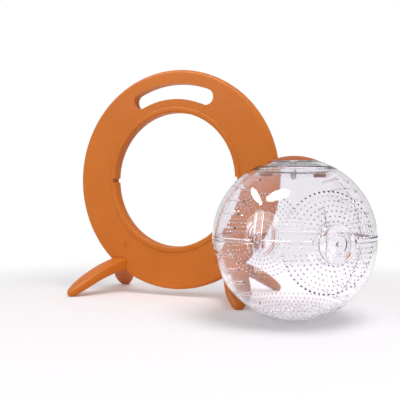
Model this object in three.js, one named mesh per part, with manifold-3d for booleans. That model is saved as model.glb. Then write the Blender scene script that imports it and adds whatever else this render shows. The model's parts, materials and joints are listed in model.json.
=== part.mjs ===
// Hamster ball with its ring stand: a clear ball that comes apart at a level seam, a round door
// with an orange turn knob on top, and an orange ring stand that carries the ball by its hub pins.
// Millimetres, +Z up. The floor is z = 0 and the origin is the middle of the set's footprint.
import * as THREE from 'three';
import { mergeVertices } from 'three/addons/utils/BufferGeometryUtils.js';
import Module from 'manifold-3d';

// Stand, driving dimensions
const ringRadius = 100;
const ringThickness = 9.4;
const ringEdgeRound = 3;
const boreClearance = 1.2;
const collarWidth = 5.2;
const collarRise = 0.8;
const collarCrown = 0.3;
const floorGap = 5.8;
const handleRadius = 80.4;
const handleWidth = 14.2;
const handleHalfAngle = 24.5;
const grooveHeight = 3.8;
const grooveDepth = 2.4;
const pinSeatDepth = 4;
const ringScrewInset = 21;
const ringScrewAngles = [38.6, 100, 141.4, 218.6, 260, 321.4];

// Feet, driving dimensions
const legWidth = 19.5;
const legSplay = 27.5;
const legJoinAngle = 145;
const legReach = 52;
const legRootLift = 3.3;
const legRootHalf = 6.2;
const legTipHalf = 3.6;
const legNose = 24;
const legStart = 4;
const legArchReach = 20;
const legArchDrop = 2.2;
const legRound = 3.4;
const soleDepth = 0.8;
const tongueWidth = 12;
const tongueThickness = 3.4;
const tongueLength = 28;

// Ball, driving dimensions
const ballRadius = 60;
const wall = 1.8;
const hubAzimuth = -45;
const ballSideGap = 52.8;
const ballFrontGap = 4.7;
const seamGap = 0.3;
const lipHeight = 3;
const lipThickness = 1.2;
const lipRoot = 4.5;
const lipRootReach = 1.3;
const treadPitch = 10;
const treadHalfLength = 18;
const treadCount = 5;
const railStart = 3;
const railEnd = 52;
const treadWidth = 1.2;
const treadHeight = 1;

const ventRings = [[21, 14], [30, 20]];
const floorVentRings = [[19, 12], [33, 20]];
const ventHole = 2.4;

// Hubs, driving dimensions
const hubRadius = 13.5;
const hubNeckRadius = 12.4;
const hubFlangeRadius = 15;
const hubFlangeThickness = 1.5;
const hubFaceThickness = 1.5;
const hubCupRadius = 10.5;
const hubFlatHeight = 12;
const hubRingRadius = 7.2;
const hubRingWidth = 1;
const hubRingDepth = 0.6;
const hubPinRadius = 1.5;
const hubPinLength = 2.6;
const hubPinChamfer = 0.4;

// Door, driving dimensions
const doorRadius = 30;
const ledgeRadius = 26.2;
const ledgeDepth = 1.55;
const neckDepth = 5.6;
const neckWall = 1.8;
const tabReach = 2.6;
const tabThickness = 1.4;
const tabHalfAngle = 16;
const knobRadius = 18.4;
const knobCrown = 4;
const knobSkirt = 1;
const knobWall = 2;
const knobProud = 0.6;
const stemRadius = 5.9;
const barHalfLength = 25.6;
const barWidth = 8;
const barThickness = 3.3;
const barScrewHead = 3;

// Seam clips and screws, driving dimensions
const clipAzimuth = 52.5;
const clipWidth = 7.5;
const clipThickness = 1.4;
const clipUp = 22.5;
const clipDown = 19.5;
const clipButtonRadius = 2;
const guideWidth = 1;
const guideTop = 2;
const screwRadius = 1.25;
const screwHeadRadius = 2.8;
const screwHeadHeight = 1.8;
const screwHeadSink = 0.6;
const ringScrewLength = 5;
const barScrewLength = 7;

// Clearances and facets
const gap = 0.3;
const slack = 0.4;
const ballFacets = 36;
const meridianFacets = 17;
const ringFacets = 56;
const doorFacets = 32;
const hubFacets = 24;
const seatFacets = 12;
const screwFacets = 8;
const reach = 400;

// Sizes that follow from the driving dimensions
const bore = ballRadius + boreClearance;
const halfPlate = ringThickness / 2;
const ringCentre = ringRadius + floorGap;
const collarRadius = bore + collarWidth;
const ringScrewRadius = ringRadius - ringScrewInset;
const tongueInnerRadius = ringRadius - tongueLength;
const legJoinX = ringRadius * Math.sin(legJoinAngle * Math.PI / 180);
const legRootHeight = ringCentre + ringRadius * Math.cos(legJoinAngle * Math.PI / 180) + legRootLift;
const innerRadius = ballRadius - wall;
const facetIn = Math.cos(Math.PI / ballFacets) * Math.cos(Math.PI / (2 * meridianFacets));
const lipOuter = innerRadius * facetIn - gap;
const lipInner = lipOuter - lipThickness;
const hubHole = hubNeckRadius + slack;
const hubSeatX = Math.sqrt(ballRadius ** 2 - hubHole ** 2) + gap;
const hubInnerX = Math.sqrt((innerRadius * facetIn) ** 2 - hubFlangeRadius ** 2) - slack;
const hubFaceX = hubSeatX + hubFaceThickness;
const doorEdge = Math.sqrt(ballRadius ** 2 - doorRadius ** 2);
const ledgeTop = doorEdge - ledgeDepth;
const neckBottom = doorEdge - neckDepth;
const knobRim = Math.sqrt(ballRadius ** 2 - knobRadius ** 2) - gap;
const knobTop = ballRadius + knobProud;
const barTop = ledgeTop - tabThickness - gap;
const barBottom = barTop - barThickness;
const screwHole = screwRadius + gap;

// The solid-modelling library works on indexed meshes that hold positions only.
const wasm = await Module();
wasm.setup();
const { Manifold, Mesh } = wasm;

// A closed three.js geometry as a solid, turned the right way out, without flat triangles.
function solid(geometry) {
  const bare = geometry.clone();
  bare.deleteAttribute('normal');
  bare.deleteAttribute('uv');
  const merged = mergeVertices(bare, 1e-4);
  const points = merged.getAttribute('position');
  const index = merged.getIndex().array;
  const corner = [new THREE.Vector3(), new THREE.Vector3(), new THREE.Vector3()];
  const kept = [];
  let volume = 0;
  for (let i = 0; i < index.length; i += 3) {
    const [a, b, c] = [index[i], index[i + 1], index[i + 2]];
    if (a === b || b === c || c === a) continue;
    kept.push(a, b, c);
    corner.forEach((point, k) => point.fromBufferAttribute(points, index[i + k]));
    volume += corner[0].dot(corner[1].cross(corner[2]));
  }
  const triVerts = Uint32Array.from(kept);
  if (volume < 0) triVerts.reverse();
  return new Manifold(new Mesh({ numProp: 3, vertProperties: Float32Array.from(points.array), triVerts }));
}

function geometryOf(shape) {
  const mesh = shape.getMesh();
  const geometry = new THREE.BufferGeometry();
  geometry.setAttribute('position', new THREE.BufferAttribute(mesh.vertProperties, 3));
  geometry.setIndex(new THREE.BufferAttribute(mesh.triVerts, 1));
  return geometry.toNonIndexed();
}

const radians = THREE.MathUtils.degToRad;
const join = (first, ...rest) => rest.reduce((whole, piece) => whole.add(piece), first);
const cut = (first, ...rest) => rest.reduce((whole, piece) => whole.subtract(piece), first);

// A profile of [radius, height] pairs turned about Z.
function turned(profile, facets, phase = 0) {
  const points = profile.map(([radius, height]) => new THREE.Vector2(radius, height));
  return solid(new THREE.LatheGeometry(points, facets, phase, 2 * Math.PI).rotateX(Math.PI / 2));
}

// The same about X, and about Y with the heights towards -Y, the front.
const turnedAboutX = (profile, facets, phase = 0) => turned(profile, facets, phase).rotate(0, 90, 0);
const turnedAboutY = (profile, facets) => turned(profile, facets).rotate(90, 0, 0);

const closed = (profile) => [...profile, profile[0]];
const rod = (radius, from, to, facets) => [[0, from], [radius, from], [radius, to], [0, to]];
const block = (x, y, z) => solid(new THREE.BoxGeometry(x, y, z));

// A flat outline in X and Y, made thick along Z from 0.
function plate(shape, thickness, options = {}) {
  return solid(new THREE.ExtrudeGeometry(shape, { depth: thickness, bevelEnabled: false, ...options }));
}

// An arc of [radius, height] points about a centre, from one angle to another in degrees.
function arc(centreR, centreZ, radiusR, radiusZ, from, to, steps) {
  return Array.from({ length: steps + 1 }, (_, i) => {
    const angle = radians(from + (to - from) * i / steps);
    return [centreR + radiusR * Math.cos(angle), centreZ + radiusZ * Math.sin(angle)];
  });
}

// A piece of a ring as a flat outline, its ends round or square.
function ringSector(inner, outer, from, to, roundEnds) {
  const shape = new THREE.Shape();
  const middle = (inner + outer) / 2;
  const half = (outer - inner) / 2;
  shape.absarc(0, 0, outer, radians(from), radians(to), false);
  if (roundEnds) {
    const end = radians(to);
    shape.absarc(middle * Math.cos(end), middle * Math.sin(end), half, end, end + Math.PI, false);
  }
  shape.absarc(0, 0, inner, radians(to), radians(from), true);
  if (roundEnds) {
    const end = radians(from);
    shape.absarc(middle * Math.cos(end), middle * Math.sin(end), half, end + Math.PI, end + 2 * Math.PI, false);
  }
  return shape;
}

// Cross-sections of equal point counts, joined in order into one closed skin.
function loft(sections) {
  const count = sections[0].length;
  const last = (sections.length - 1) * count;
  const index = [];
  for (let start = 0; start < last; start += count) {
    for (let i = 0; i < count; i += 1) {
      const a = start + i;
      const b = start + (i + 1) % count;
      index.push(a, b, a + count, b, b + count, a + count);
    }
  }
  for (let i = 1; i + 1 < count; i += 1) index.push(0, i + 1, i, last, last + i, last + i + 1);
  const geometry = new THREE.BufferGeometry().setFromPoints(sections.flat());
  geometry.setIndex(index);
  return solid(geometry);
}

// One leg of a foot: an arched bar with rounded edges that thins and narrows to a round nose. The
// extra makes the slightly larger shape that the ring's notch is cut with.
function leg(extra) {
  const end = legReach + legTipHalf;
  const line = new THREE.QuadraticBezierCurve(
    new THREE.Vector2(-legStart, legRootHeight),
    new THREE.Vector2(legArchReach, legRootHeight - legArchDrop),
    new THREE.Vector2(legReach, legTipHalf - soleDepth),
  );
  const section = (t, beyond, share) => {
    const along = line.getTangent(t);
    const across = new THREE.Vector2(-along.y, along.x);
    const centre = line.getPoint(t).addScaledVector(along, beyond);
    const half = THREE.MathUtils.lerp(legRootHalf, legTipHalf, t) * share;
    const into = Math.min(1, (end - centre.x) / legNose);
    const wide = legWidth / 2 * Math.sqrt(1 - (1 - into) ** 2);
    const round = Math.min(legRound, half * 0.75, wide * 0.75);
    return [0, 1, 2, 3].flatMap((corner) => {
      const side = corner === 0 || corner === 3 ? 1 : -1;
      const top = corner < 2 ? 1 : -1;
      const turn = arc(side * (wide - round), top * (half - round), round + extra, round + extra,
        corner * 90, corner * 90 + 90, 2);
      return turn.map(([u, v]) => new THREE.Vector3(centre.x + across.x * v, u, centre.y + across.y * v));
    });
  };
  const sections = [section(0, -extra, 1)];
  for (let i = 1; i <= 9; i += 1) sections.push(section(i / 9, 0, 1));
  for (const turn of [30, 60, 80]) {
    const angle = radians(turn);
    sections.push(section(1, legTipHalf * Math.sin(angle) + extra, Math.cos(angle)));
  }
  return loft(sections);
}

// A foot grips the ring's rim: a front leg and a rear leg in one moulding, with a tongue that
// goes up between the two ring halves. It is made for the left side, and mirrored for the right.
function foot(extra) {
  const front = leg(extra).rotate(0, 0, -90 - legSplay).translate(-legJoinX, 0, 0);
  const rear = front.mirror([0, 1, 0]);
  const length = ringRadius - tongueInnerRadius;
  const tongue = block(tongueWidth + 2 * extra, tongueThickness + 2 * extra, length + 2 * extra)
    .translate(0, 0, tongueInnerRadius + length / 2)
    .rotate(0, ringScrewAngles[3], 0)
    .translate(0, 0, ringCentre);
  const floor = block(reach, reach, reach).translate(0, 0, -reach / 2 - extra);
  return join(front, rear, tongue).subtract(floor);
}

// The places of the six ring screws, as [x, z] on the ring's face.
const ringScrews = ringScrewAngles.map((angle) => [
  ringScrewRadius * Math.sin(radians(angle)),
  ringCentre + ringScrewRadius * Math.cos(radians(angle)),
]);

function ringScrewHoles(radius, from, to) {
  return ringScrews.map(([x, z]) => turnedAboutY(rod(radius, from, to), screwFacets).translate(x, 0, z));
}

// Half of the ring: a flat annulus with a rounded outer edge and a raised, crowned collar round
// the bore. It is made as the front half; the rear half is its mirror image.
function ringHalf() {
  const collarTop = halfPlate + collarRise;
  const profile = closed([
    [bore, seamGap / 2],
    ...arc(bore + collarWidth / 2, halfPlate - collarCrown, collarWidth / 2, collarRise + collarCrown, 180, 0, 4),
    [collarRadius + gap, halfPlate],
    ...arc(ringRadius - ringEdgeRound, halfPlate - ringEdgeRound, ringEdgeRound, ringEdgeRound, 90, 0, 3),
    [ringRadius, seamGap / 2],
  ]);
  const annulus = turnedAboutY(profile, ringFacets).translate(0, 0, ringCentre);
  const inner = handleRadius - handleWidth / 2;
  const outer = handleRadius + handleWidth / 2;
  const slotShape = ringSector(inner, outer, 90 - handleHalfAngle, 90 + handleHalfAngle, true);
  const slot = plate(slotShape, reach, { curveSegments: 10 })
    .translate(0, 0, -reach / 2)
    .rotate(90, 0, 0)
    .translate(0, 0, ringCentre);
  const grooves = block(2 * (bore + grooveDepth), 2 * (collarTop + gap), grooveHeight).translate(0, 0, ringCentre);
  const seats = turnedAboutX(rod(grooveHeight / 2, -bore - pinSeatDepth, bore + pinSeatDepth), seatFacets)
    .translate(0, 0, ringCentre);
  return cut(annulus, slot, grooves, seats, foot(gap), foot(gap).mirror([1, 0, 0]));
}

// Ball shapes are made about the ball's centre, with the hub axis along X and the door at +Z.
// A faceted ball whose lowest facet is level, so that it can stand.
function sphere(radius) {
  const profile = arc(0, 0, radius, radius, -90, 90, meridianFacets).map(([r, z]) => [Math.max(r, 0), z]);
  profile[0][0] = 0;
  profile[meridianFacets][0] = 0;
  return turnedAboutX(profile, ballFacets, Math.PI / ballFacets);
}

const hollowBall = sphere(ballRadius).subtract(sphere(innerRadius));
const hubHoles = turnedAboutX(rod(hubHole, -reach, reach), hubFacets);
const hubClearance = turnedAboutX(rod(hubFlangeRadius + slack, -reach, reach), hubFacets);

// A tread bar inside the wall, parallel to the hub axis, at an angle from the seam in degrees.
function treadBar(angle) {
  const half = THREE.MathUtils.radToDeg(Math.asin(treadHalfLength / innerRadius));
  const deep = innerRadius + wall / 2;
  const crest = innerRadius - treadHeight;
  const outline = [
    ...arc(0, 0, deep, deep, 90 - half, 90 + half, 2),
    ...arc(0, 0, crest, crest, 90 + half, 90 - half, 2),
  ];
  const shape = new THREE.Shape(outline.map(([x, y]) => new THREE.Vector2(x, y)));
  return plate(shape, treadWidth).translate(0, 0, -treadWidth / 2).rotate(angle, 0, 0);
}

// The running bands of one half: on each side a ladder of bars, and a rail along the middle.
function treads(side) {
  const shape = ringSector(innerRadius - treadHeight, innerRadius + wall / 2, railStart, railEnd, false);
  const rail = plate(shape, treadWidth, { curveSegments: 6 })
    .translate(0, 0, -treadWidth / 2)
    .rotate(90, 0, 90);
  const bars = Array.from({ length: treadCount }, (_, i) => treadBar(treadPitch * (i + 1)));
  const band = join(rail, ...bars);
  const pair = [band, band.mirror([0, 1, 0])];
  return side > 0 ? pair : pair.map((piece) => piece.mirror([0, 0, 1]));
}

// The air holes of one half: rings of square holes round each hub, clear of the seam.
function vents(side) {
  const holes = [];
  for (const [away, count] of ventRings) {
    for (let i = 0; i < count; i += 1) {
      const turn = 360 * (i + 0.5) / count;
      const height = ballRadius * Math.sin(radians(away)) * Math.sin(radians(turn));
      if (height * side < lipRoot + 2 * ventHole) continue;
      const hole = block(4 * wall, ventHole, ventHole).translate(innerRadius, 0, 0).rotate(0, 0, away).rotate(turn, 0, 0);
      holes.push(hole, hole.rotate(0, 0, 180));
    }
  }
  return holes;
}

// The air holes in the bottom of the ball.
function floorVents() {
  return floorVentRings.flatMap(([away, count]) => Array.from({ length: count }, (_, i) => (
    block(ventHole, ventHole, 4 * wall).translate(0, 0, -innerRadius).rotate(0, away, 0).rotate(0, 0, 360 * (i + 0.5) / count)
  )));
}

// A piece at a clip's place: the clips stand on the seam, on opposite sides of the ball.
const atClips = (piece) => [piece.rotate(0, 0, -clipAzimuth), piece.rotate(0, 0, 180 - clipAzimuth)];

// A strip of the wall's own curve in the upright plane through X, its width along Y.
function uprightStrip(inner, outer, from, to, width) {
  const outline = [...arc(0, 0, outer, outer, from, to, 6), ...arc(0, 0, inner, inner, to, from, 6)];
  const shape = new THREE.Shape(outline.map(([x, y]) => new THREE.Vector2(x, y)));
  return plate(shape, width).translate(0, 0, -width / 2).rotate(90, 0, 0);
}

// Lower half: a clear bowl whose thin inner lip stands up inside the upper half, with tread
// bars across its running band and two guides that hold the seam clips.
function lowerShell() {
  const bowl = hollowBall.intersect(block(reach, reach, reach).translate(0, 0, -(reach + seamGap) / 2));
  const root = lipOuter + lipRootReach;
  const lip = turned(closed([
    [lipInner, lipHeight],
    [lipOuter, lipHeight],
    [lipOuter, -seamGap / 2],
    [root, -seamGap / 2],
    [root, -lipRoot],
    [lipInner, lipThickness - lipRoot],
  ]), ballFacets);
  const clipRoom = block(ballRadius, clipWidth + 2 * gap, 2 * ballRadius)
    .intersect(sphere(innerRadius).translate(-ballRadius / 2 - lipInner + clipThickness, 0, 0))
    .translate(ballRadius / 2 + lipInner - clipThickness, 0, 0);
  const guide = uprightStrip(lipInner, innerRadius + wall / 2, -clipDown, -guideTop, guideWidth);
  const guideAt = clipWidth / 2 + gap + guideWidth / 2;
  const guides = [guide.translate(0, guideAt, 0), guide.translate(0, -guideAt, 0)];
  const body = cut(bowl, hubHoles, ...vents(-1), ...floorVents());
  return join(body, cut(lip, hubClearance, ...atClips(clipRoom)), ...treads(-1), ...guides.flatMap(atClips));
}

// Upper half: a clear dome with the round door opening, whose neck turns inwards to a ledge
// and two tabs that the door's cross bar locks under.
function upperShell() {
  const dome = hollowBall.intersect(block(reach, reach, reach).translate(0, 0, (reach + seamGap) / 2));
  const opening = turned(rod(doorRadius, ballRadius / 2, ballRadius * 2), doorFacets);
  const outer = doorRadius + neckWall;
  const outerEdge = Math.sqrt(ballRadius ** 2 - outer ** 2);
  const neck = turned(closed([
    [doorRadius, doorEdge - gap],
    [outer, outerEdge - wall / 2],
    [outer, outerEdge - 2 * wall],
    [ledgeRadius + neckWall, neckBottom],
    [ledgeRadius, neckBottom],
    [ledgeRadius, ledgeTop],
    [doorRadius, ledgeTop],
  ]), doorFacets);
  const tabShape = ringSector(ledgeRadius - tabReach, ledgeRadius + gap, -tabHalfAngle, tabHalfAngle, false);
  const tab = plate(tabShape, tabThickness, { curveSegments: 4 }).translate(0, 0, ledgeTop - tabThickness);
  const notchRadius = clipButtonRadius + slack;
  const notch = join(
    turnedAboutX(rod(notchRadius, innerRadius / 2, reach), screwFacets),
    block(reach, 2 * notchRadius, 2 * notchRadius).translate((reach + innerRadius) / 2, 0, -notchRadius),
  ).translate(0, 0, clipButtonRadius + gap);
  const body = cut(dome, opening, hubHoles, ...vents(1), ...atClips(notch));
  return join(body, neck, tab, tab.rotate(0, 0, 180), ...treads(1));
}

// Hub cap: a clear turning plug held by the rim of the hub hole. Its face has a flat top edge,
// a round groove and the pin that the ring's bearing groove takes.
function hubCap() {
  const cap = turnedAboutX([
    [0, hubFaceX - hubFaceThickness],
    [hubCupRadius, hubFaceX - hubFaceThickness],
    [hubCupRadius, hubInnerX - hubFlangeThickness],
    [hubFlangeRadius, hubInnerX - hubFlangeThickness],
    [hubFlangeRadius, hubInnerX],
    [hubNeckRadius, hubInnerX],
    [hubNeckRadius, hubSeatX],
    [hubRadius, hubSeatX],
    [hubRadius, hubFaceX - hubPinChamfer],
    [hubRadius - hubPinChamfer, hubFaceX],
    [hubRingRadius, hubFaceX],
    [hubRingRadius, hubFaceX - hubRingDepth],
    [hubRingRadius - hubRingWidth, hubFaceX - hubRingDepth],
    [hubRingRadius - hubRingWidth, hubFaceX],
    [hubPinRadius, hubFaceX],
    [hubPinRadius, hubFaceX + hubPinLength - hubPinChamfer],
    [hubPinRadius - hubPinChamfer, hubFaceX + hubPinLength],
    [0, hubFaceX + hubPinLength],
  ], hubFacets);
  const above = block(reach, reach, reach).translate(hubSeatX + reach / 2, 0, hubFlatHeight + reach / 2);
  return cap.subtract(above);
}

// Seam clip: a clear springy strip inside the ball that bridges the seam, with a button that
// sits in a notch of the upper half's rim.
function seamClip() {
  const strip = uprightStrip(lipOuter - clipThickness, lipOuter, -clipDown, clipUp, clipWidth);
  const rounded = new THREE.Shape();
  const top = lipOuter * Math.sin(radians(clipUp)) - clipWidth / 2;
  rounded.moveTo(-clipWidth / 2, -ballRadius);
  rounded.lineTo(clipWidth / 2, -ballRadius);
  rounded.absarc(0, top, clipWidth / 2, 0, Math.PI, false);
  const roundTop = plate(rounded, reach, { curveSegments: 8 }).rotate(90, 0, 0).rotate(0, 0, 90);
  const button = turnedAboutX(rod(clipButtonRadius, lipOuter - clipThickness / 2, ballRadius * facetIn), screwFacets)
    .translate(0, 0, clipButtonRadius + gap);
  return join(strip.intersect(roundTop), button);
}

// Door: a clear ring of the ball's own curve that drops onto the neck's ledge, with a flat
// recess and a hole in the middle for the knob.
function doorLid() {
  const edge = doorRadius - gap;
  const seat = knobRadius + slack;
  const floor = knobRim - knobSkirt - gap;
  const rim = (radius) => THREE.MathUtils.radToDeg(Math.acos(radius / ballRadius));
  const under = floor - wall;
  return turned(closed([
    [edge, ledgeTop + gap],
    ...arc(0, 0, ballRadius, ballRadius, rim(edge), rim(seat), 4),
    [seat, floor],
    [stemRadius + slack, floor],
    [stemRadius + slack, under],
    [seat + wall, under],
    [edge - wall, ledgeTop + gap],
  ]), doorFacets);
}

// Knob: an orange domed cap on a stem that goes down through the door.
function doorKnob() {
  const crownRadius = (knobRadius ** 2 + knobCrown ** 2) / (2 * knobCrown);
  const centre = knobTop - crownRadius;
  const half = THREE.MathUtils.radToDeg(Math.asin(knobRadius / crownRadius));
  const rim = knobTop - knobCrown;
  const insideRadius = knobRadius - knobWall;
  const body = turned([
    [0, knobTop],
    ...arc(0, centre, crownRadius, crownRadius, 90, 90 - half, 5).slice(1),
    [knobRadius, knobRim - knobSkirt],
    [insideRadius, knobRim - knobSkirt],
    [insideRadius, rim - gap],
    [stemRadius, knobTop - knobWall - gap],
    [stemRadius, barTop + gap],
    [0, barTop + gap],
  ], doorFacets);
  return body.subtract(turned(rod(screwHole, barTop, barTop + barScrewLength), screwFacets));
}

// Cross bar: locks under the neck's tabs when the knob is turned a quarter turn.
function knobBar() {
  const blank = block(2 * barHalfLength, barWidth, barThickness).translate(0, 0, barTop - barThickness / 2);
  const round = turned(rod(barHalfLength, barBottom - gap, barTop + gap), doorFacets);
  const hole = turned(rod(screwHole, barBottom - gap, barTop + gap), screwFacets);
  return blank.intersect(round).subtract(hole).rotate(0, 0, 90);
}

// A pan-head screw that points up, its head's underside at z = 0.
function screw(headRadius, length) {
  return turned([
    [0, -screwHeadHeight],
    [headRadius * 0.8, -screwHeadHeight],
    [headRadius, -screwHeadHeight / 2],
    [headRadius, 0],
    [screwRadius, 0],
    [screwRadius, length],
    [0, length],
  ], screwFacets);
}

const orange = new THREE.MeshStandardMaterial({ color: '#d2702c', roughness: 0.42, metalness: 0 });
const clear = new THREE.MeshStandardMaterial({
  color: '#e6e2ea', roughness: 0.08, metalness: 0, transparent: true, opacity: 0.35,
});
const steel = new THREE.MeshStandardMaterial({ color: '#b9bcc0', roughness: 0.35, metalness: 1 });

function named(name, shape, material) {
  const mesh = new THREE.Mesh(geometryOf(shape), material.clone());
  mesh.name = name;
  return mesh;
}

// Stand
const headRoom = halfPlate - screwHeadHeight - screwHeadSink - gap;
const ringFront = cut(ringHalf(), ...ringScrewHoles(screwHole, 0, ringScrewLength - headRoom));
const ringRear = cut(
  ringHalf().mirror([0, 1, 0]),
  ...ringScrewHoles(screwHole, -reach, 0),
  ...ringScrewHoles(screwHeadRadius + slack, -reach, -headRoom),
);
const ringScrewSolids = ringScrews.map(([x, z]) => (
  screw(screwHeadRadius, ringScrewLength).rotate(90, 0, 0).translate(x, headRoom + gap, z)
));
const footLeft = foot(0).subtract(ringScrewHoles(screwHole, -reach, reach)[3]);
const stand = new THREE.Group();
stand.add(
  named('ring_front', ringFront, orange),
  named('ring_rear', ringRear, orange),
  named('foot_left', footLeft, orange),
  named('foot_right', footLeft.mirror([1, 0, 0]), orange),
  ...ringScrewSolids.map((shape, i) => named(`ring_screw_${i + 1}`, shape, steel)),
);

// Ball, beside the right foot and in front of the ring's plane
const clips = atClips(seamClip());
const ball = new THREE.Group();
ball.add(
  named('hub_cap_near', hubCap(), clear),
  named('hub_cap_far', hubCap().rotate(0, 0, 180), clear),
  named('lower_shell', lowerShell(), clear),
  named('upper_shell', upperShell(), clear),
  named('seam_clip_front', clips[0], clear),
  named('seam_clip_rear', clips[1], clear),
  named('door_lid', doorLid(), clear),
  named('door_knob', doorKnob(), orange),
  named('knob_bar', knobBar(), orange),
  named('bar_screw', screw(barScrewHead, barScrewLength).translate(0, 0, barBottom - gap), steel),
);
const legTipX = legJoinX + legReach * Math.sin(radians(legSplay));
ball.position.set(
  legTipX + ballSideGap,
  -(halfPlate + collarRise + ballFrontGap + ballRadius),
  ballRadius * facetIn,
);
ball.rotation.z = radians(hubAzimuth);

// The whole set, moved so that the origin is the middle of its footprint on the floor
const hamsterBall = new THREE.Group();
hamsterBall.add(stand, ball);
hamsterBall.updateMatrixWorld(true);
const extent = new THREE.Box3().setFromObject(hamsterBall, true);
const middle = extent.getCenter(new THREE.Vector3());
hamsterBall.position.set(-middle.x, -middle.y, 0);
hamsterBall.updateMatrixWorld(true);

export default hamsterBall;
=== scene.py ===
"""A clear hamster ball beside its orange ring stand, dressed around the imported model."""
import json
import math

import bmesh
import bpy
from mathutils import Matrix, Vector


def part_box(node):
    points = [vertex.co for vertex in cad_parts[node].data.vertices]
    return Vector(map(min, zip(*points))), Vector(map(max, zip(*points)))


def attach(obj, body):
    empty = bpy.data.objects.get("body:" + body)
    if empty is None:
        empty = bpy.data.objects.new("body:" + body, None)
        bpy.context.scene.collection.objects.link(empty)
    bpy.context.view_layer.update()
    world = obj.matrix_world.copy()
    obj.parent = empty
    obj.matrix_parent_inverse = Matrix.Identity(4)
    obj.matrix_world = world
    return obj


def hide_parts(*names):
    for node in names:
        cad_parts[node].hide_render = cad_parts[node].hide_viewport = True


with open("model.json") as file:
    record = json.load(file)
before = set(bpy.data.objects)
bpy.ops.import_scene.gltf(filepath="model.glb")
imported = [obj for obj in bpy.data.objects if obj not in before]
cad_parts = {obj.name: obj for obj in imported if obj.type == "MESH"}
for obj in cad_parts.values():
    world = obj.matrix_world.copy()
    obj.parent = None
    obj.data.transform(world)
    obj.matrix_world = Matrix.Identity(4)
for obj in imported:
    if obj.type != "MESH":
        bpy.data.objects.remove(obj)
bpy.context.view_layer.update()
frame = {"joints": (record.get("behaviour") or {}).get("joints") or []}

# Ring stand: two injection-moulded halves of orange polypropylene, screwed together from the
# rear. A flat annulus with a rounded rim, a raised collar round the bore and a slot for the hand.
MM = 0.001
PARTING = 0.15
RING_R = 100.0
BORE_R = 61.2
PLATE = 4.7
COLLAR_W = 5.2
COLLAR_RISE = 0.8
RIM_ROUND = 3.2
SLOT_IN = 73.3
SLOT_OUT = 87.5
SLOT_HALF = 24.5
GROOVE_H = 3.8
GROOVE_D = 2.4
SEAT_D = 4.0
front_low, front_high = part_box("ring_front")
rear_low, rear_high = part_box("ring_rear")
ring_centre = Vector((
    (front_low[0] + front_high[0]) / 2,
    (front_low[1] + rear_high[1]) / 2,
    (front_low[2] + front_high[2]) / 2,
))
ring_place = Matrix.Translation(ring_centre) @ Matrix.Scale(MM, 4)


def spun(profile, axis, start, steps):
    """A closed profile of (radius, height) points in mm, spun once round an axis."""
    bm = bmesh.new()
    along, across = Vector(axis), Vector(start)
    verts = [bm.verts.new(across * r + along * h) for r, h in profile]
    edges = [bm.edges.new(pair) for pair in zip(verts, verts[1:] + verts[:1])]
    bmesh.ops.spin(
        bm, geom=verts + edges, cent=(0, 0, 0), axis=along,
        angle=math.tau, steps=steps, use_merge=True,
    )
    bmesh.ops.remove_doubles(bm, verts=bm.verts, dist=1e-4)
    bmesh.ops.dissolve_degenerate(bm, edges=bm.edges, dist=1e-4)
    bmesh.ops.recalc_face_normals(bm, faces=bm.faces)
    return bm


def round_arc(centre_r, centre_h, radius_r, radius_h, first, last, steps):
    """Points along an arc of a profile, angles in degrees."""
    points = []
    for i in range(steps + 1):
        a = math.radians(first + (last - first) * i / steps)
        points.append((centre_r + radius_r * math.cos(a), centre_h + radius_h * math.sin(a)))
    return points


def prism(outline, depth):
    """A straight bar along Y from an outline of (x, z) points in mm."""
    bm = bmesh.new()
    face = bm.faces.new([bm.verts.new((x, -depth, z)) for x, z in outline])
    moved = bmesh.ops.extrude_face_region(bm, geom=[face])["geom"]
    top = [v for v in moved if isinstance(v, bmesh.types.BMVert)]
    bmesh.ops.translate(bm, verts=top, vec=(0, 2 * depth, 0))
    bmesh.ops.recalc_face_normals(bm, faces=bm.faces)
    return bm


def block(size, centre=(0, 0, 0)):
    bm = bmesh.new()
    bmesh.ops.create_cube(bm, size=1)
    bmesh.ops.scale(bm, vec=size, verts=bm.verts)
    bmesh.ops.translate(bm, vec=centre, verts=bm.verts)
    return bm


def turned_by(bm, matrix):
    bmesh.ops.transform(bm, matrix=matrix, verts=bm.verts)
    if matrix.determinant() < 0:
        bmesh.ops.reverse_faces(bm, faces=bm.faces)
    return bm


def gathered(pieces):
    """Several bmeshes as one."""
    whole = bmesh.new()
    for piece in pieces:
        mesh = bpy.data.meshes.new("part")
        piece.to_mesh(mesh)
        piece.free()
        whole.from_mesh(mesh)
        bpy.data.meshes.remove(mesh)
    return whole


def scratch_object(bm):
    mesh = bpy.data.meshes.new("scratch")
    bm.to_mesh(mesh)
    bm.free()
    thing = bpy.data.objects.new("scratch", mesh)
    bpy.context.scene.collection.objects.link(thing)
    return thing


def carved(bm, tools, operation="DIFFERENCE"):
    """Cuts or joins a bmesh with others, one after another, and gives the result as a bmesh."""
    target = scratch_object(bm)
    others = [scratch_object(tool) for tool in tools]
    for other in others:
        boolean = target.modifiers.new("carve", "BOOLEAN")
        boolean.operation = operation
        boolean.solver = "EXACT"
        boolean.object = other
    result = bmesh.new()
    result.from_object(target, bpy.context.evaluated_depsgraph_get())
    for used in [target] + others:
        mesh = used.data
        bpy.data.objects.remove(used)
        bpy.data.meshes.remove(mesh)
    return result


def new_piece(name, bm, place, body, material, smooth=32):
    """Turns a bmesh in mm into an object at the origin that rides on a body."""
    turned_by(bm, place)
    bmesh.ops.remove_doubles(bm, verts=bm.verts, dist=2e-6)
    mesh = bpy.data.meshes.new(name)
    bm.to_mesh(mesh)
    bm.free()
    piece = bpy.data.objects.new(name, mesh)
    bpy.context.scene.collection.objects.link(piece)
    mesh.materials.clear()
    mesh.materials.append(material)
    mesh.shade_smooth()
    mesh.set_sharp_from_angle(angle=math.radians(smooth))
    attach(piece, body)
    return piece


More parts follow.
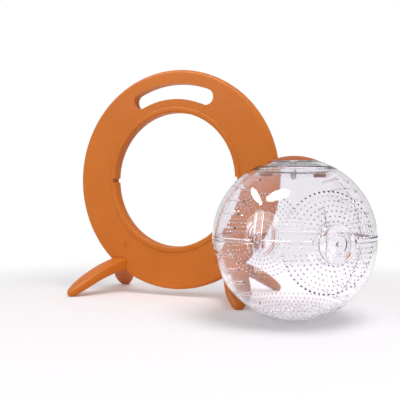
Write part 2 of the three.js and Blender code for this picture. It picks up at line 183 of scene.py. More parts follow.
def soften(piece, width, angle=40, segments=3):
    """Rounds the edges that the mould leaves round, width in mm."""
    bevel = piece.modifiers.new("rounded edges", "BEVEL")
    bevel.width = width * MM
    bevel.segments = segments
    bevel.limit_method = "ANGLE"
    bevel.angle_limit = math.radians(angle)
    bevel.harden_normals = True


def srgb(code):
    """A hex colour, as written, in Blender's linear values."""
    channels = [int(code[i:i + 2], 16) / 255 for i in (1, 3, 5)]
    linear = [c / 12.92 if c <= 0.04045 else ((c + 0.055) / 1.055) ** 2.4 for c in channels]
    return (*linear, 1.0)


def add_node(tree, kind, settings=None, links=None):
    """Adds a node, sets its attributes or sockets, and links its sockets."""
    node = tree.nodes.new(kind)
    for key, value in (settings or {}).items():
        if isinstance(key, int) or key in node.inputs:
            node.inputs[key].default_value = value
        else:
            setattr(node, key, value)
    for socket, source in (links or {}).items():
        tree.links.new(source, node.inputs[socket])
    return node


# Moulded polypropylene: a satin skin from a spark-eroded mould, with a slightly uneven orange.
orange_plastic = bpy.data.materials.new("moulded_orange_polypropylene")
orange_plastic.use_nodes = True
orange_tree = orange_plastic.node_tree
orange_shader = orange_tree.nodes["Principled BSDF"]
orange_place = add_node(orange_tree, "ShaderNodeTexCoord").outputs["Object"]
orange_cloud = add_node(
    orange_tree, "ShaderNodeTexNoise",
    {"Scale": 16.0, "Detail": 3.0, "Roughness": 0.5}, {"Vector": orange_place},
)
orange_tone = add_node(orange_tree, "ShaderNodeValToRGB", {}, {"Fac": orange_cloud.outputs["Fac"]})
orange_tone.color_ramp.elements[0].position = 0.3
orange_tone.color_ramp.elements[0].color = srgb("#ca6c18")
orange_tone.color_ramp.elements[1].position = 0.7
orange_tone.color_ramp.elements[1].color = srgb("#d57521")
orange_tree.links.new(orange_tone.outputs["Color"], orange_shader.inputs["Base Color"])
orange_rough = add_node(
    orange_tree, "ShaderNodeMapRange",
    {"To Min": 0.36, "To Max": 0.5}, {"Value": orange_cloud.outputs["Fac"]},
)
orange_tree.links.new(orange_rough.outputs["Result"], orange_shader.inputs["Roughness"])
# The mould's grain is about 0.4 mm, drawn at 0.9 mm so that it shows.
orange_grain = add_node(
    orange_tree, "ShaderNodeTexNoise",
    {"Scale": 1100.0, "Detail": 2.0, "Roughness": 0.6}, {"Vector": orange_place},
)
orange_bump = add_node(
    orange_tree, "ShaderNodeBump",
    {"Strength": 0.08, "Distance": 0.00005}, {"Height": orange_grain.outputs["Fac"]},
)
orange_tree.links.new(orange_bump.outputs["Normal"], orange_shader.inputs["Normal"])
orange_shader.inputs["IOR"].default_value = 1.49
orange_shader.inputs["Specular IOR Level"].default_value = 0.25


def slot_outline():
    """The hand slot: an arc between two radii with round ends."""
    middle, half = (SLOT_IN + SLOT_OUT) / 2, (SLOT_OUT - SLOT_IN) / 2
    left, right = math.radians(90 + SLOT_HALF), math.radians(90 - SLOT_HALF)
    left_end = (middle * math.cos(left), middle * math.sin(left))
    right_end = (middle * math.cos(right), middle * math.sin(right))
    points = round_arc(0, 0, SLOT_OUT, SLOT_OUT, 90 - SLOT_HALF, 90 + SLOT_HALF, 36)
    points += round_arc(*left_end, half, half, 90 + SLOT_HALF, 270 + SLOT_HALF, 16)[1:-1]
    points += round_arc(0, 0, SLOT_IN, SLOT_IN, 90 + SLOT_HALF, 90 - SLOT_HALF, 36)
    points += round_arc(*right_end, half, half, 270 - SLOT_HALF, 450 - SLOT_HALF, 16)[1:-1]
    return points


# Feet: each is one arched moulding with a leg to the front and a leg to the rear, pushed up into
# a notch of the ring's rim, where a tongue between the two ring halves takes a screw.
LEG_W = 19.5
LEG_SPLAY = 27.5
LEG_JOIN_X = 57.36
LEG_REACH = 51.9
LEG_START = 4.0
LEG_ROOT_Z = 27.18
LEG_ARCH = (20.0, 24.98)
LEG_TIP_Z = 3.3
LEG_ROOT_HALF = 6.2
LEG_TIP_HALF = 3.6
LEG_NOSE = 24.0
LEG_ROUND = 3.4


def leg(extra):
    """One leg along +X in mm, its sections carried along an arched line."""
    start, bend, end = (-LEG_START, LEG_ROOT_Z), LEG_ARCH, (LEG_REACH, LEG_TIP_Z)

    def on_line(t):
        return [(1 - t) ** 2 * a + 2 * t * (1 - t) * b + t * t * c for a, b, c in zip(start, bend, end)]

    def direction(t):
        d = [2 * (1 - t) * (b - a) + 2 * t * (c - b) for a, b, c in zip(start, bend, end)]
        return Vector(d).normalized()

    def section(t, beyond, share):
        along = direction(t)
        x, z = Vector(on_line(t)) + along * beyond
        half = (LEG_ROOT_HALF + (LEG_TIP_HALF - LEG_ROOT_HALF) * t) * share
        # The leg's width closes to a round nose over its last stretch.
        into = min(1.0, (LEG_REACH + LEG_TIP_HALF - x) / LEG_NOSE)
        width = LEG_W / 2 * math.sqrt(1 - (1 - into) ** 2)
        radius = min(LEG_ROUND, half * 0.75, width * 0.75)
        points = []
        for corner, (side, top) in enumerate(((1, 1), (-1, 1), (-1, -1), (1, -1))):
            points += round_arc(
                side * (width - radius), top * (half - radius), radius + extra, radius + extra,
                corner * 90, corner * 90 + 90, 4,
            )
        return [Vector((x - along.y * v, u, z + along.x * v)) for u, v in points]

    rings = [section(0, -extra, 1)]
    rings += [section(i / 30, 0, 1) for i in range(1, 31)]
    for turn in (12, 24, 36, 48, 60, 70, 78, 85):
        a = math.radians(turn)
        rings.append(section(1, LEG_TIP_HALF * math.sin(a) + extra, math.cos(a)))
    bm = bmesh.new()
    verts = [bm.verts.new(p) for p in rings[0]]
    edges = [bm.edges.new(pair) for pair in zip(verts, verts[1:] + verts[:1])]
    bm.faces.new(verts)
    for ring in rings[1:]:
        grown = bmesh.ops.extrude_edge_only(bm, edges=edges)["geom"]
        new_verts = [v for v in grown if isinstance(v, bmesh.types.BMVert)]
        new_edges = [e for e in grown if isinstance(e, bmesh.types.BMEdge)]
        before = {}
        for vert in new_verts:
            old = next(e.other_vert(vert) for e in vert.link_edges if e.other_vert(vert) in verts)
            before[verts.index(old)] = vert
        verts = [before[i] for i in range(len(verts))]
        for vert, place in zip(verts, ring):
            vert.co = place
        edges = [e for e in new_edges if all(v in verts for v in e.verts)]
    bm.faces.new(verts)
    bmesh.ops.recalc_face_normals(bm, faces=bm.faces)
    return bm


SCREW_R = 79.0
SCREW_ANGLES = (38.6, 100, 141.4, 218.6, 260, 321.4)
TONGUE = (12.0, 3.4, 28.0)


def foot(extra, side):
    """side is -1 for the left foot and +1 for the right one; heights from the floor."""
    legs = []
    for flip in (-1, 1):
        place = (
            Matrix.Translation((side * LEG_JOIN_X, 0, 0))
            @ Matrix.Diagonal((side, flip, 1, 1))
            @ Matrix.Rotation(math.radians(90 - LEG_SPLAY), 4, "Z")
        )
        legs.append(turned_by(leg(extra), place))
    size = [s + 2 * extra for s in TONGUE]
    tongue = turned_by(
        block(size, (0, 0, RING_R - TONGUE[2] / 2)),
        Matrix.Translation((0, 0, ring_centre.z / MM))
        @ Matrix.Rotation(math.radians(side * SCREW_ANGLES[2]), 4, "Y"),
    )
    whole = carved(legs[0], [legs[1], tongue], "UNION")
    return carved(whole, [block((400, 400, 100), (0, 0, -50 - extra))])


foot_place = Matrix.Translation((ring_centre.x, ring_centre.y, 0)) @ Matrix.Scale(MM, 4)
for name, side in (("foot_left", -1), ("foot_right", 1)):
    piece = new_piece(
        name + "_moulding", foot(0, side), foot_place, "stand", orange_plastic,
    )
    soften(piece, 0.8)
    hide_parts(name)

# Ring halves, cut for the feet, the slot, the bearing grooves and the screws.
HEAD_R = 2.8
HEAD_SINK = 2.0


def screw_spots():
    for degrees in SCREW_ANGLES:
        a = math.radians(degrees)
        yield SCREW_R * math.sin(a), SCREW_R * math.cos(a)


def ring_half(side):
    """side is -1 for the front half and +1 for the rear half."""
    top = PLATE + COLLAR_RISE
    profile = [(BORE_R, PARTING)]
    profile += round_arc(BORE_R + 1.5, top - 1.5, 1.5, 1.5, 180, 90, 6)
    profile += round_arc(BORE_R + COLLAR_W - 1.4, top - 1.1, 1.4, 1.1, 90, 0, 6)
    profile += [(BORE_R + COLLAR_W, PLATE)]
    profile += round_arc(RING_R - RIM_ROUND, PLATE - RIM_ROUND, RIM_ROUND, RIM_ROUND, 90, 0, 10)
    profile += [(RING_R, PARTING)]
    ring = spun(profile, (0, side, 0), (1, 0, 0), 192)
    to_ring = Matrix.Translation((0, 0, -ring_centre.z / MM))
    tools = [
        prism(slot_outline(), 12),
        block((2 * (BORE_R + GROOVE_D), 14, GROOVE_H)),
        turned_by(foot(0.35, -1), to_ring),
        turned_by(foot(0.35, 1), to_ring),
    ]
    if side < 0:
        # The seats of the feet's screws leave a shallow round dimple in the front face.
        dimples = []
        for sign in (-1, 1):
            a = math.radians(sign * SCREW_ANGLES[2])
            outline = round_arc(SCREW_R * math.sin(a), SCREW_R * math.cos(a), 2.8, 2.8, 0, 345, 23)
            dimples.append(turned_by(prism(outline, 5), Matrix.Translation((0, -PLATE - 4.4, 0))))
        tools.append(gathered(dimples))
    if side > 0:
        heads = []
        for x, z in screw_spots():
            outline = round_arc(x, z, HEAD_R + 0.4, HEAD_R + 0.4, 0, 337.5, 15)
            heads.append(turned_by(prism(outline, 10), Matrix.Translation((0, 10 + HEAD_SINK, 0))))
        tools.append(gathered(heads))
    return carved(ring, tools)


for name, side in (("ring_front", -1), ("ring_rear", 1)):
    piece = new_piece(
        name + "_moulding", ring_half(side), ring_place, "stand", orange_plastic,
    )
    soften(piece, 0.7)
    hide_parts(name)

# Screws: zinc-plated pan heads with a cross recess, sunk in the rear face and under the door.
SCREW_SHANK = 1.25
HEAD_H = 1.8
steel = bpy.data.materials.new("zinc_plated_steel")
steel.use_nodes = True
steel_tree = steel.node_tree
steel_shader = steel_tree.nodes["Principled BSDF"]
steel_shader.inputs["Metallic"].default_value = 1.0
steel_place = add_node(steel_tree, "ShaderNodeTexCoord").outputs["Object"]
steel_cloud = add_node(steel_tree, "ShaderNodeTexNoise", {"Scale": 900.0}, {"Vector": steel_place})
steel_tone = add_node(steel_tree, "ShaderNodeValToRGB", {}, {"Fac": steel_cloud.outputs["Fac"]})
steel_tone.color_ramp.elements[0].color = srgb("#a9adb2")
steel_tone.color_ramp.elements[1].color = srgb("#cfd2d6")
steel_tree.links.new(steel_tone.outputs["Color"], steel_shader.inputs["Base Color"])
steel_rough = add_node(
    steel_tree, "ShaderNodeMapRange",
    {"To Min": 0.25, "To Max": 0.45}, {"Value": steel_cloud.outputs["Fac"]},
)
steel_tree.links.new(steel_rough.outputs["Result"], steel_shader.inputs["Roughness"])


def screw(head_r, length):
    """A screw that points along +Z in mm, its head's underside at z = 0."""
    profile = [(0.01, -HEAD_H)]
    profile += round_arc(0.2, -HEAD_H * 0.35, head_r - 0.2, HEAD_H * 0.65, -88, 0, 8)
    profile += [(head_r, 0), (SCREW_SHANK, 0), (SCREW_SHANK, length), (0.01, length)]
    body = spun(profile, (0, 0, 1), (1, 0, 0), 32)
    bars = [block((head_r * 1.3, 0.7, 2), (0, 0, -HEAD_H)), block((0.7, head_r * 1.3, 2), (0, 0, -HEAD_H))]
    return carved(body, bars)


for number, (x, z) in enumerate(screw_spots(), start=1):
    place = ring_place @ Matrix.Translation((x, 2.3, z)) @ Matrix.Rotation(math.radians(90), 4, "X")
    piece = new_piece(f"ring_screw_{number}_steel", screw(HEAD_R, 5), place, "stand", steel)
    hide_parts(f"ring_screw_{number}")

# Ball shells: two half shells of clear polystyrene, injection moulded, about 1.8 mm thick. They
# meet at a level seam through both hubs. Each has air holes round the hubs, a tread ladder
# inside for grip, and the lower one has a disc of air holes in its bottom.
BALL_R = 59.5
WALL = 1.8
INNER_R = BALL_R - WALL
SEAM = 0.2
HUB_HOLE = 12.8
VENT_RINGS = 7
VENT_FIRST = 35.0
VENT_STEP = 3.45
VENT_PITCH = 3.56
VENT_R = 0.52
VENT_EDGE_R = 0.82
FLOOR_RINGS = 7
FLOOR_FIRST = 38.0
FLOOR_STEP = 4.6
SEAM_CLEAR = 3.0
DOOR_R = 30.0
NECK_OUT = 31.8
LEDGE_R = 26.2
DOOR_EDGE = 51.96
LEDGE_TOP = 50.41
NECK_BOTTOM = 46.36
LIP_OUT = 57.35
LIP_IN = 56.15
CLIP_AZIMUTH = 52.5
spin_joint = next(j for j in frame["joints"] if j["name"] == "ball_spin")
ball_centre = Vector(spin_joint["pos_m"])
ball_place = (
    Matrix.Translation(ball_centre)
    @ Matrix.Rotation(math.radians(-45), 4, "Z")
    @ Matrix.Scale(MM, 4)
)

# Clear polystyrene: hard, glossy and faintly cool in tint, with a few soft flow marks.
clear_plastic = bpy.data.materials.new("clear_moulded_polystyrene")
clear_plastic.use_nodes = True
clear_tree = clear_plastic.node_tree
clear_shader = clear_tree.nodes["Principled BSDF"]
clear_place = add_node(clear_tree, "ShaderNodeTexCoord").outputs["Object"]
clear_cloud = add_node(
    clear_tree, "ShaderNodeTexNoise", {"Scale": 30.0, "Detail": 2.0}, {"Vector": clear_place},
)
clear_tone = add_node(clear_tree, "ShaderNodeValToRGB", {}, {"Fac": clear_cloud.outputs["Fac"]})
clear_tone.color_ramp.elements[0].color = srgb("#f9f6fb")
clear_tone.color_ramp.elements[1].color = srgb("#fdfcfe")
clear_tree.links.new(clear_tone.outputs["Color"], clear_shader.inputs["Base Color"])
clear_rough = add_node(
    clear_tree, "ShaderNodeMapRange",
    {"To Min": 0.02, "To Max": 0.06}, {"Value": clear_cloud.outputs["Fac"]},
)
clear_tree.links.new(clear_rough.outputs["Result"], clear_shader.inputs["Roughness"])
clear_shader.inputs["Transmission Weight"].default_value = 1.0
clear_shader.inputs["IOR"].default_value = 1.49


def vent_pins(rings, first, step, pitch, radius, edge, half):
    """Round cutters for rings of holes about +Z, in mm; half is +1 or -1 for those at +Y or -Y."""
    pins = bmesh.new()
    for k in range(rings):
        away = math.radians(first - k * step)
        size = radius if k else edge
        count = 2 * round(math.pi * BALL_R * math.sin(away) / pitch)
        for i in range(count):
            turn = math.tau * i / count
            height = BALL_R * math.sin(away) * math.sin(turn)
            if half and height * half < SEAM_CLEAR:
                continue
            place = (
                Matrix.Rotation(turn, 4, "Z")
                @ Matrix.Rotation(away, 4, "Y")
                @ Matrix.Translation((0, 0, BALL_R - WALL / 2))
            )
            bmesh.ops.create_cone(
                pins, cap_ends=True, segments=10, radius1=size, radius2=size,
                depth=3 * WALL, matrix=place,
            )
    return pins


def hub_vents(half):
    """One half's holes round both hubs, which lie on the X axis."""
    discs = []
    for turn in (90, -90):
        pins = vent_pins(VENT_RINGS, VENT_FIRST, VENT_STEP, VENT_PITCH, VENT_R, VENT_EDGE_R, half)
        side = Matrix.Rotation(math.radians(turn), 4, "Y") @ Matrix.Rotation(math.radians(turn), 4, "Z")
        discs.append(turned_by(pins, side))
    return gathered(discs)


def hollow_ball(steps=144):
    """The whole wall, with its two hub holes, spun about the X axis."""
    outer_gap = math.degrees(math.asin(HUB_HOLE / BALL_R))
    inner_gap = math.degrees(math.asin(HUB_HOLE / INNER_R))
    profile = round_arc(0, 0, BALL_R, BALL_R, -90 + outer_gap, 90 - outer_gap, 84)
    profile += round_arc(0, 0, INNER_R, INNER_R, 90 - inner_gap, -90 + inner_gap, 84)
    return spun(profile, (1, 0, 0), (0, 0, 1), steps)


def arc_strip(inner, outer, first, last, width, steps):
    """A curved strip in the XZ plane about the origin, its width along Y."""
    outline = round_arc(0, 0, outer, outer, first, last, steps)
    outline += round_arc(0, 0, inner, inner, last, first, steps)
    return prism(outline, width / 2)


TREAD_HALF = 18.0
TREAD_H = 1.5
TREAD_W = 1.5
TREAD_STEP = 10
TREADS = 5


def tread_bars(side):
    reach = math.degrees(math.asin(TREAD_HALF / INNER_R))
    bars = []
    for i in range(1, TREADS + 1):
        for way in (1, -1):
            strip = arc_strip(INNER_R - TREAD_H, INNER_R + WALL / 2, 90 - reach, 90 + reach, TREAD_W, 12)
            turn = side * way * (TREAD_STEP * i - 90) if side > 0 else 180 + way * (90 - TREAD_STEP * i)
            bars.append(turned_by(strip, Matrix.Rotation(math.radians(turn), 4, "X")))
    return gathered(bars)


def tread_rails(side):
    rails = []
    for way in (0, 180):
        strip = arc_strip(INNER_R - TREAD_H * 0.8, INNER_R + WALL / 2, 3, 53, TREAD_W, 20)
        rails.append(turned_by(strip, Matrix.Rotation(math.radians(90 + way), 4, "Z")))
    whole = gathered(rails)
    return whole if side > 0 else turned_by(whole, Matrix.Diagonal((1, 1, -1, 1)))


def at_clips(make):
    """A piece made at +X, set at both clips on the seam."""
    for turn in (-CLIP_AZIMUTH, 180 - CLIP_AZIMUTH):
        yield turned_by(make(), Matrix.Rotation(math.radians(turn), 4, "Z"))


CLIP_W = 5.8
CLIP_T = 1.4
CLIP_UP = 22.5
CLIP_DOWN = 19.5
BUTTON_R = 2.0


def hub_room():
    return spun([(0.01, -90), (15.4, -90), (15.4, 90), (0.01, 90)], (1, 0, 0), (0, 0, 1), 64)


def lower_shell():
    bowl = carved(hollow_ball(), [
        block((200, 200, 100), (0, 0, 50 - SEAM)),
        hub_vents(-1),
        turned_by(
            vent_pins(FLOOR_RINGS, FLOOR_FIRST, FLOOR_STEP, VENT_PITCH, VENT_R, VENT_R, 0),
            Matrix.Rotation(math.pi, 4, "X"),
        ),
    ])
    lip = spun([
        (LIP_IN + 0.9, 2.6), (LIP_OUT, 2.6), (LIP_OUT, -SEAM), (INNER_R + 0.6, -SEAM - 0.02),
        (INNER_R + 0.4, -6.0), (INNER_R - 0.4, -7.0), (LIP_IN + 0.7, -0.5), (LIP_IN + 0.3, 0),
        (LIP_IN + 0.3, 2.0),
    ], (0, 0, 1), (1, 0, 0), 144)
    clip_rooms = gathered(at_clips(lambda: block((12, CLIP_W + 0.8, 30), (INNER_R - 5.6, 0, 0))))
    lip = carved(lip, [hub_room(), clip_rooms])
    guides = []
    for offset in (CLIP_W / 2 + 0.8, -CLIP_W / 2 - 0.8):
        for strip in at_clips(lambda: turned_by(
            arc_strip(LIP_IN, INNER_R + 0.8, -CLIP_DOWN, -3, 1.0, 12),
            Matrix.Translation((0, offset, 0)),
        )):
            guides.append(strip)
    inside = carved(lip, [tread_bars(-1), tread_rails(-1), gathered(guides)], "UNION")
    return carved(bowl, [inside], "UNION")


def upper_shell():
    opening = spun([(0.01, 30), (DOOR_R, 30), (DOOR_R, 90), (0.01, 90)], (0, 0, 1), (1, 0, 0), 96)
    notches, ridge_notches = (
        gathered(at_clips(lambda: block((20, 2 * BUTTON_R + 0.8, 8.7), (INNER_R, 0, 0.3))))
        for _ in range(2)
    )
    dome = carved(hollow_ball(), [
        block((200, 200, 100), (0, 0, -50 + SEAM)),
        hub_vents(1),
        opening,
        notches,
    ])
    outer_edge = math.sqrt(BALL_R ** 2 - NECK_OUT ** 2)
    neck = spun([
        (DOOR_R, DOOR_EDGE - 0.5),
        (NECK_OUT, outer_edge - WALL / 2),
        (NECK_OUT, LEDGE_TOP - 1.5),
        (LEDGE_R + 1.5, LEDGE_TOP - 1.5),
        (LEDGE_R + 1.5, NECK_BOTTOM),
        (LEDGE_R, NECK_BOTTOM),
        (LEDGE_R, LEDGE_TOP),
        (DOOR_R, LEDGE_TOP),
    ], (0, 0, 1), (1, 0, 0), 96)
    # A low ridge outside stiffens the rim: it is the pale double line along the seam.
    ridge = carved(spun([
        (BALL_R - 0.9, SEAM), (BALL_R + 0.2, SEAM), (BALL_R + 0.2, 2.0), (BALL_R - 0.1, 2.4),
        (BALL_R - 0.9, 2.4),
    ], (0, 0, 1), (1, 0, 0), 144), [hub_room(), ridge_notches])
    inside = carved(neck, [tread_bars(1), tread_rails(1), ridge], "UNION")
    return carved(dome, [inside], "UNION")


for name, make, body in (
    ("lower_shell", lower_shell, "lower_half"),
    ("upper_shell", upper_shell, "upper_half"),
):
    piece = new_piece(name + "_clear", make(), ball_place, body, clear_plastic, 25)
    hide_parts(name)

# Hub caps: clear turning plugs in the two hub holes. Each has a thin raised edge, a round
# groove, and the small pin that hangs in the ring's bearing groove.
HUB_SEAT = 58.92
HUB_FACE = 60.42
HUB_INNER = 55.25


def hub_cap():
    profile = [
        (0.01, HUB_FACE - 1.5), (10.5, HUB_FACE - 1.5), (10.5, HUB_INNER - 1.5), (15.0, HUB_INNER - 1.5),
        (15.0, HUB_INNER), (12.4, HUB_INNER), (12.4, HUB_SEAT), (13.5, HUB_SEAT),
        (13.5, HUB_FACE - 0.4), (13.2, HUB_FACE - 0.05), (12.6, HUB_FACE - 0.05), (12.3, HUB_FACE - 0.5),
        (8.0, HUB_FACE - 0.5), (7.7, HUB_FACE), (6.6, HUB_FACE), (6.3, HUB_FACE - 0.6),
        (1.9, HUB_FACE - 0.6), (1.5, HUB_FACE - 0.2), (1.5, HUB_FACE + 2.2), (1.2, HUB_FACE + 2.6),
        (0.01, HUB_FACE + 2.6),
    ]
    cap = spun(profile, (1, 0, 0), (0, 0, 1), 72)
    return carved(cap, [block((10, 40, 10), (HUB_SEAT + 5, 0, 12 + 5))])


for name, turn in (("hub_cap_near", 0), ("hub_cap_far", 180)):
    place = ball_place @ Matrix.Rotation(math.radians(turn), 4, "Z")
    piece = new_piece(name + "_clear", hub_cap(), place, "hub_caps", clear_plastic)
    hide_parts(name)


# Seam clips: springy clear strips inside the ball, one on each side, which bridge the seam. A
# button on each sits in a notch of the upper half's rim.
def seam_clip():
    strip = arc_strip(LIP_OUT - CLIP_T, LIP_OUT, -CLIP_DOWN, CLIP_UP, CLIP_W, 24)
    top = LIP_OUT * math.sin(math.radians(CLIP_UP)) - CLIP_W / 2
    outline = round_arc(0, top, CLIP_W / 2, CLIP_W / 2, 0, 180, 16)
    outline += [(-CLIP_W / 2, -60), (CLIP_W / 2, -60)]
    # A pocket leaves the strip's edge raised all round.
    within = CLIP_W / 2 - 0.8
    inner = round_arc(0, top, within, within, 0, 180, 16) + [(-within, -60), (within, -60)]
    round_top = turned_by(prism(outline, 100), Matrix.Rotation(math.radians(90), 4, "Z"))
    strip = carved(strip, [round_top], "INTERSECT")
    pocket = carved(
        arc_strip(LIP_OUT - CLIP_T - 1, LIP_OUT - 0.7, -CLIP_DOWN + 1, CLIP_UP, CLIP_W - 1.6, 24),
        [turned_by(prism(inner, 100), Matrix.Rotation(math.radians(90), 4, "Z"))], "INTERSECT",
    )
    strip = carved(strip, [pocket])
    button = spun([
        (0.01, LIP_OUT - 0.7), (BUTTON_R, LIP_OUT - 0.7), (BUTTON_R, 59.0), (BUTTON_R - 0.4, 59.3),
        (0.01, 59.4),
    ], (1, 0, 0), (0, 0, 1), 24)
    turned_by(button, Matrix.Translation((0, 0, BUTTON_R + 0.3)))
    return carved(strip, [button], "UNION")


for name, turn, body in (
    ("seam_clip_front", -CLIP_AZIMUTH, "clip_front"),
    ("seam_clip_rear", 180 - CLIP_AZIMUTH, "clip_rear"),
):
    place = ball_place @ Matrix.Rotation(math.radians(turn), 4, "Z")
    piece = new_piece(name + "_clear", seam_clip(), place, body, clear_plastic)
    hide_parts(name)

# Door: a clear ring of the ball's own curve that drops onto the neck's ledge, with a recess in
# the middle for the knob.
KNOB_R = 18.4
KNOB_TOP = 60.6
KNOB_CROWN = 4.0
KNOB_RIM = 56.8
STEM_R = 2.4
BAR_TOP = 48.71
BAR_T = 3.3
BAR_W = 8.0
BAR_HALF = 25.6
WEB_T = 1.3
LUG_START = 18.5


def door_lid():
    edge, seat, floor = DOOR_R - 0.15, KNOB_R + 0.15, KNOB_RIM - 1.3
    inner_edge = math.sqrt(INNER_R ** 2 - (LEDGE_TOP + 0.3) ** 2)
    outer_turn = [math.degrees(math.acos(r / BALL_R)) for r in (edge, seat)]
    inner_turn = [math.degrees(math.acos(r / INNER_R)) for r in (seat + WALL, inner_edge)]
    profile = [(edge - 0.3, LEDGE_TOP + 0.3), (edge, LEDGE_TOP + 0.6)]
    profile += round_arc(0, 0, BALL_R, BALL_R, *outer_turn, 10)
    profile += [
        (seat, floor), (STEM_R + 0.4, floor), (STEM_R + 0.4, floor - WALL), (seat + 1.0, floor - WALL),
    ]
    profile += round_arc(0, 0, INNER_R, INNER_R, *inner_turn, 10)
    return spun(profile, (0, 0, 1), (1, 0, 0), 96)


piece = new_piece("door_lid_clear", door_lid(), ball_place, "door", clear_plastic)
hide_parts("door_lid")


# The knob's orange is a little deeper than the stand's.
knob_plastic = orange_plastic.copy()
knob_plastic.name = "moulded_deep_orange_polypropylene"
knob_ramp = next(n for n in knob_plastic.node_tree.nodes if n.type == "VALTORGB").color_ramp
knob_ramp.elements[0].color = srgb("#a64c0e")
knob_ramp.elements[1].color = srgb("#b05410")


# Knob and cross bar: an orange domed cap on a stem through the door, and the bar screwed under
# it, which locks below the neck's tabs after a quarter turn.
def door_knob():
    crown_r = (KNOB_R ** 2 + KNOB_CROWN ** 2) / (2 * KNOB_CROWN)
    half = math.degrees(math.asin((KNOB_R - 0.6) / crown_r))
    profile = [(0.01, KNOB_TOP)]
    profile += round_arc(0, KNOB_TOP - crown_r, crown_r, crown_r, 89, 90 - half, 16)
    profile += [
        (KNOB_R - 0.15, KNOB_TOP - KNOB_CROWN - 0.15), (KNOB_R, KNOB_TOP - KNOB_CROWN - 0.6),
        (KNOB_R, KNOB_RIM - 1), (KNOB_R - 2, KNOB_RIM - 1), (KNOB_R - 2, KNOB_TOP - KNOB_CROWN - 0.6),
        (0.01, KNOB_TOP - 2.6),
    ]
    return spun(profile, (0, 0, 1), (1, 0, 0), 96)


piece = new_piece("door_knob_orange", door_knob(), ball_place, "knob", knob_plastic)
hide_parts("door_knob")
stem = spun([
    (0.01, KNOB_TOP - 2.9), (STEM_R, KNOB_TOP - 2.9), (STEM_R, BAR_TOP + 0.2), (0.01, BAR_TOP + 0.2),
], (0, 0, 1), (1, 0, 0), 32)
piece = new_piece("door_knob_stem", stem, ball_place, "knob", clear_plastic)
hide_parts("door_knob")
# The bar's middle doesn't show in the photograph: it is clear, with orange ends.
web = carved(
    block((BAR_W, 2 * LUG_START, WEB_T), (0, 0, BAR_TOP - WEB_T / 2)),
    [spun([(0.01, BAR_TOP - 0.3), (STEM_R, BAR_TOP - 0.3), (STEM_R, BAR_TOP - BAR_T),
           (0.01, BAR_TOP - BAR_T)], (0, 0, 1), (1, 0, 0), 32)],
    "UNION",
)
piece = new_piece("knob_bar_clear", web, ball_place, "knob", clear_plastic)
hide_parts("knob_bar")
round_end = spun([(0.01, 40), (BAR_HALF, 40), (BAR_HALF, 55), (0.01, 55)], (0, 0, 1), (1, 0, 0), 96)
lugs = carved(gathered([
    block((BAR_W, 10, BAR_T), (0, way * (LUG_START + 5), BAR_TOP - BAR_T / 2)) for way in (1, -1)
]), [round_end], "INTERSECT")
piece = new_piece("knob_bar_lugs", lugs, ball_place, "knob", knob_plastic)
soften(piece, 0.8)
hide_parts("knob_bar")
place = ball_place @ Matrix.Translation((0, 0, BAR_TOP - BAR_T - 0.3))
piece = new_piece("bar_screw_steel", screw(2.1, 4), place, "knob", steel)
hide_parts("bar_screw")

# Studio: a pale floor that fades into white, soft lamps, and a camera at the photograph's angle.
floor_bm = bmesh.new()
bmesh.ops.create_grid(floor_bm, x_segments=1, y_segments=1, size=6)
bmesh.ops.translate(floor_bm, vec=(0, 0, -0.0001), verts=floor_bm.verts)
floor_mesh = bpy.data.meshes.new("floor")
floor_bm.to_mesh(floor_mesh)
floor_bm.free()
floor = bpy.data.objects.new("floor", floor_mesh)
bpy.context.scene.collection.objects.link(floor)
paper = bpy.data.materials.new("white_floor")
paper.use_nodes = True
paper_tree = paper.node_tree
paper_shader = paper_tree.nodes["Principled BSDF"]
paper_shader.inputs["Base Color"].default_value = srgb("#f4f2f5")
paper_shader.inputs["Roughness"].default_value = 0.8
paper_shader.inputs["Specular IOR Level"].default_value = 0.1
light_path = add_node(paper_tree, "ShaderNodeLightPath")
seen_first = add_node(
    paper_tree, "ShaderNodeMath", {"operation": "MAXIMUM"},
    {0: light_path.outputs["Is Camera Ray"], 1: light_path.outputs["Is Transmission Ray"]},
)
seen = add_node(
    paper_tree, "ShaderNodeMath", {"operation": "MAXIMUM"},
    {0: seen_first.outputs[0], 1: light_path.outputs["Is Glossy Ray"]},
)
# Seen directly, mirrored or through the ball, the floor turns to plain white away from the part,
# and close to it is just light enough that only the part's soft shadow shows.
paper_shader.inputs["Emission Color"].default_value = (1, 1, 1, 1)
glow_level = add_node(
    paper_tree, "ShaderNodeMapRange", {"To Min": 0.1, "To Max": 0.42},
    {"Value": light_path.outputs["Is Transmission Ray"]},
)
glow = add_node(
    paper_tree, "ShaderNodeMath", {"operation": "MULTIPLY"},
    {0: seen.outputs[0], 1: glow_level.outputs["Result"]},
)
paper_tree.links.new(glow.outputs[0], paper_shader.inputs["Emission Strength"])
floor_place = add_node(paper_tree, "ShaderNodeTexCoord").outputs["Object"]
floor_away = add_node(
    paper_tree, "ShaderNodeVectorMath", {"operation": "LENGTH"}, {0: floor_place},
)
floor_fade = add_node(
    paper_tree, "ShaderNodeMapRange",
    {"interpolation_type": "SMOOTHSTEP", "From Min": 0.22, "From Max": 0.42},
    {"Value": floor_away.outputs["Value"]},
)
white_share = add_node(
    paper_tree, "ShaderNodeMath", {"operation": "MULTIPLY"},
    {0: seen.outputs[0], 1: floor_fade.outputs["Result"]},
)
white_level = add_node(
    paper_tree, "ShaderNodeMapRange", {"To Min": 1.0, "To Max": 0.9},
    {"Value": light_path.outputs["Is Transmission Ray"]},
)
plain_white = add_node(
    paper_tree, "ShaderNodeEmission", {"Color": (1, 1, 1, 1)},
    {"Strength": white_level.outputs["Result"]},
)
floor_mix = add_node(
    paper_tree, "ShaderNodeMixShader", {},
    {0: white_share.outputs[0], 1: paper_shader.outputs["BSDF"], 2: plain_white.outputs["Emission"]},
)
paper_tree.links.new(
    floor_mix.outputs["Shader"], paper_tree.nodes["Material Output"].inputs["Surface"],
)
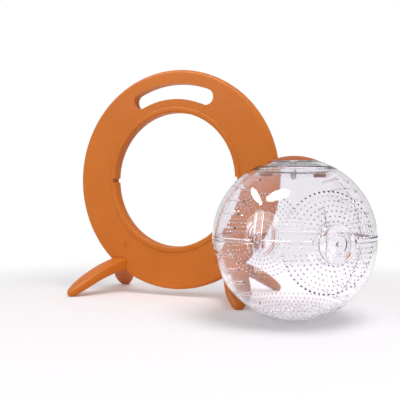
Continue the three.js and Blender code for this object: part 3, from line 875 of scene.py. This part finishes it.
floor_mesh.materials.append(paper)

world = bpy.data.worlds.new("studio")
bpy.context.scene.world = world
world.use_nodes = True
world_tree = world.node_tree
backdrop = world_tree.nodes["Background"]
backdrop.inputs["Color"].default_value = (1, 1, 1, 1)
world_path = add_node(world_tree, "ShaderNodeLightPath")
world_gloss = add_node(
    world_tree, "ShaderNodeMapRange", {"To Min": 0.45, "To Max": 0.65},
    {"Value": world_path.outputs["Is Glossy Ray"]},
)
world_through = add_node(
    world_tree, "ShaderNodeMath", {"operation": "MULTIPLY", 1: 0.9},
    {0: world_path.outputs["Is Transmission Ray"]},
)
world_dressed = add_node(
    world_tree, "ShaderNodeMath", {"operation": "MAXIMUM"},
    {0: world_gloss.outputs["Result"], 1: world_through.outputs[0]},
)
world_level = add_node(
    world_tree, "ShaderNodeMath", {"operation": "MAXIMUM"},
    {0: world_dressed.outputs[0], 1: world_path.outputs["Is Camera Ray"]},
)
world_tree.links.new(world_level.outputs[0], backdrop.inputs["Strength"])


def soft_lamp(name, place, along, size, watts, shades, mirrored):
    """An oval lamp that faces the ball's middle, its first size laid along a direction."""
    data = bpy.data.lights.new(name, "AREA")
    data.shape = "ELLIPSE"
    data.size, data.size_y = size
    data.energy = watts
    lamp = bpy.data.objects.new(name, data)
    bpy.context.scene.collection.objects.link(lamp)
    lamp.location = place
    back = (Vector(place) - Vector((0.05, 0, 0.06))).normalized()
    up = back.cross(Vector(along)).normalized()
    lamp.rotation_euler = Matrix((up.cross(back), up, back)).transposed().to_euler()
    lamp.visible_diffuse = shades
    lamp.visible_glossy = lamp.visible_transmission = mirrored


# The first two shade the part and cast its shadow to the left, the other two are only mirrored.
soft_lamp("key_lamp", (0.5, -0.3, 1.3), (1, 0, 0), (0.9, 0.9), 10, True, False)
soft_lamp("front_lamp", (-0.75, -1.45, 0.75), (1, 0, 0), (1.5, 0.9), 7.5, True, True)
soft_lamp("top_lamp", (-0.1, -0.49, 0.95), (0.6, 0.22, 0.18), (0.5, 0.26), 6, False, True)
soft_lamp("side_lamp", (-0.52, -0.31, 0.82), (0.18, -0.59, -0.05), (0.65, 0.1), 4, False, True)

camera_data = bpy.data.cameras.new("camera")
camera_data.lens = 58.37
camera_data.sensor_width = 36
camera = bpy.data.objects.new("camera", camera_data)
bpy.context.scene.collection.objects.link(camera)
camera.location = Vector((ring_centre.x, ring_centre.y, 0)) + Vector((274.0, -528.3, 90.1)) * MM
camera.rotation_euler = (math.radians(90 - 0.27), 0, math.radians(25.19))
bpy.context.scene.camera = camera
bpy.context.scene.view_settings.view_transform = "Standard"
# Light crosses up to sixteen surfaces of clear plastic on its way through the ball and its door.
bpy.context.scene.cycles.max_bounces = 40
bpy.context.scene.cycles.transmission_bounces = 40
